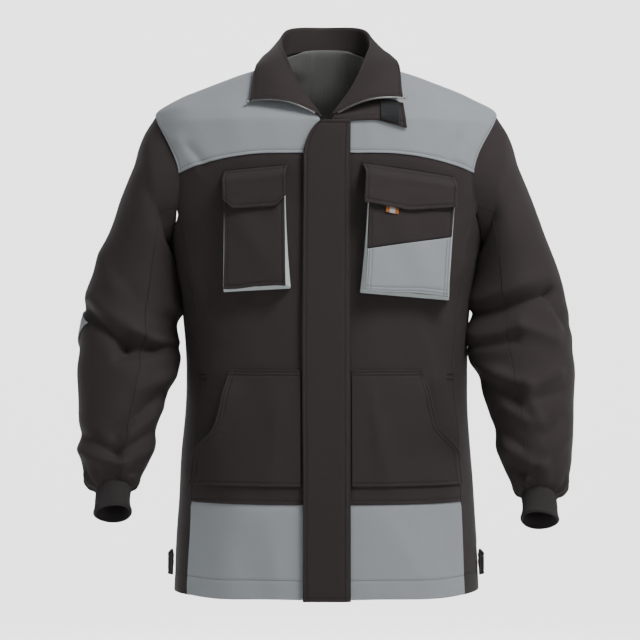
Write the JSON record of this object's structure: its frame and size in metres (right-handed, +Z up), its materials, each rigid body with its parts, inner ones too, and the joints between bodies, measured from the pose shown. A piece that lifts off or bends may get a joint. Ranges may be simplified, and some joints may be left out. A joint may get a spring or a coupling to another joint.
{
  "type": "work jacket",
  "caption": "Zip-fronted protective work jacket shown as worn: storm flap, turned-down collar, two-colour panels, bellows chest pockets, hand pockets and rib cuffs.",
  "frame": {"origin": "middle of the neck at the height where the shoulder lines meet the collar, where a wearer's neck or a hanger carries the jacket", "axes": "+Z up, front towards -Y, +X towards the wearer's left"},
  "size_m": [0.696, 0.3066, 0.8034],
  "materials": {
    "dark_drill": "matt heavy cotton drill, dark brown-charcoal, double stitched",
    "grey_drill": "matt heavy cotton drill, mid grey, double stitched",
    "lining": "matt plain-weave lining, green-grey",
    "rib_knit": "matt ribbed knit",
    "gusset_cloth": "matt pale grey bellows cloth",
    "zip_tape": "matt woven tape",
    "zip_metal": "satin nickel-plated metal",
    "hook_loop": "matt black hook-and-loop tape",
    "woven_label": "woven ribbon, orange with a pale band"
  },
  "bodies": {
    "jacket_body": {"back_panel": "dark_drill", "collar_stand": "dark_drill", "collar_back": "dark_drill", "storm_flap_top": "dark_drill", "chest_pocket_front_right": "dark_drill", "chest_pocket_front_left": "dark_drill", "front_panel_right": "dark_drill", "side_panel_right": "dark_drill", "collar_leaf_right": "dark_drill", "hand_pocket_right": "dark_drill", "front_panel_left": "dark_drill", "side_panel_left": "dark_drill", "collar_leaf_left": "dark_drill", "hand_pocket_left": "dark_drill", "back_yoke": "grey_drill", "chest_pocket_panel_left": "grey_drill", "front_yoke_right": "grey_drill", "front_hem_panel_right": "grey_drill", "front_yoke_left": "grey_drill", "front_hem_panel_left": "grey_drill", "back_lining": "lining", "chest_pocket_gusset_right": "gusset_cloth", "chest_pocket_gusset_left": "gusset_cloth", "zip_tape_right": "zip_tape", "zip_tape_left": "zip_tape", "zip_bottom_box": "zip_metal", "zip_teeth_right": "zip_metal", "zip_teeth_collar_right": "zip_metal", "zip_top_stop_right": "zip_metal", "zip_teeth_left": "zip_metal", "zip_teeth_collar_left": "zip_metal", "zip_top_stop_left": "zip_metal", "front_loop_strip": "hook_loop", "storm_flap_top_hook_patch": "hook_loop", "pocket_loop_patch_right": "hook_loop", "pocket_loop_patch_left_outer": "hook_loop", "pocket_loop_patch_left_inner": "hook_loop", "woven_tab": "woven_label"},
    "storm_flap": {"storm_flap": "dark_drill", "storm_flap_hook_strip": "hook_loop"},
    "zip_slider": {"zip_slider": "zip_metal"},
    "zip_pull": {"zip_pull": "zip_metal"},
    "pocket_flap_right": {"chest_pocket_flap_right": "dark_drill", "flap_hook_patch_right": "hook_loop"},
    "pocket_flap_left": {"chest_pocket_flap_left": "dark_drill", "flap_hook_patch_left_outer": "hook_loop", "flap_hook_patch_left_inner": "hook_loop"},
    "hem_tab_right": {"hem_tab_right": "dark_drill", "hem_tab_hook_patch_right": "hook_loop"},
    "sleeve_right": {"sleeve_top_right": "dark_drill", "sleeve_under_right": "dark_drill", "elbow_patch_right": "grey_drill", "rib_cuff_right": "rib_knit"},
    "hem_tab_left": {"hem_tab_left": "dark_drill", "hem_tab_hook_patch_left": "hook_loop"},
    "sleeve_left": {"sleeve_top_left": "dark_drill", "sleeve_under_left": "dark_drill", "elbow_patch_left": "grey_drill", "rib_cuff_left": "rib_knit"}
  },
  "joints": [
    {"name": "storm_flap_hinge", "type": "hinge", "parent": "jacket_body", "child": "storm_flap", "pos_m": [0.033, -0.14161, -0.44205], "axis": [0, 0.0499, 0.9988], "range_deg": [0, 120]},
    {"name": "zip_slider_travel", "type": "slide", "parent": "jacket_body", "child": "zip_slider", "axis": [0, -0.0499, -0.9988], "range_m": [0, 0.61]},
    {"name": "zip_pull_swing", "type": "hinge", "parent": "zip_slider", "child": "zip_pull", "pos_m": [0, -0.1186, -0.10395], "axis": [0, -0.9988, 0.0499], "range_deg": [-40, 40]},
    {"name": "pocket_flap_right_hinge", "type": "hinge", "parent": "jacket_body", "child": "pocket_flap_right", "pos_m": [-0.10234, -0.13465, -0.15332], "axis": [-0.9859, 0.16, -0.05], "range_deg": [0, 150]},
    {"name": "pocket_flap_left_hinge", "type": "hinge", "parent": "jacket_body", "child": "pocket_flap_left", "pos_m": [0.12549, -0.13099, -0.15871], "axis": [-0.9716, -0.2229, 0.08], "range_deg": [0, 150]},
    {"name": "hem_tab_right_hinge", "type": "hinge", "parent": "jacket_body", "child": "hem_tab_right", "pos_m": [-0.2226, -0.032, -0.706], "axis": [0, 0, 1], "range_deg": [0, 110]},
    {"name": "hem_tab_left_hinge", "type": "hinge", "parent": "jacket_body", "child": "hem_tab_left", "pos_m": [0.2226, -0.032, -0.706], "axis": [0, 0, -1], "range_deg": [0, 110]},
    {"name": "sleeve_right_lift", "type": "hinge", "parent": "jacket_body", "child": "sleeve_right", "pos_m": [-0.241, 0, -0.073], "axis": [0, 1, 0], "range_deg": [0, 60]},
    {"name": "sleeve_left_lift", "type": "hinge", "parent": "jacket_body", "child": "sleeve_left", "pos_m": [0.241, 0, -0.073], "axis": [0, -1, 0], "range_deg": [0, 60]}
  ]
}
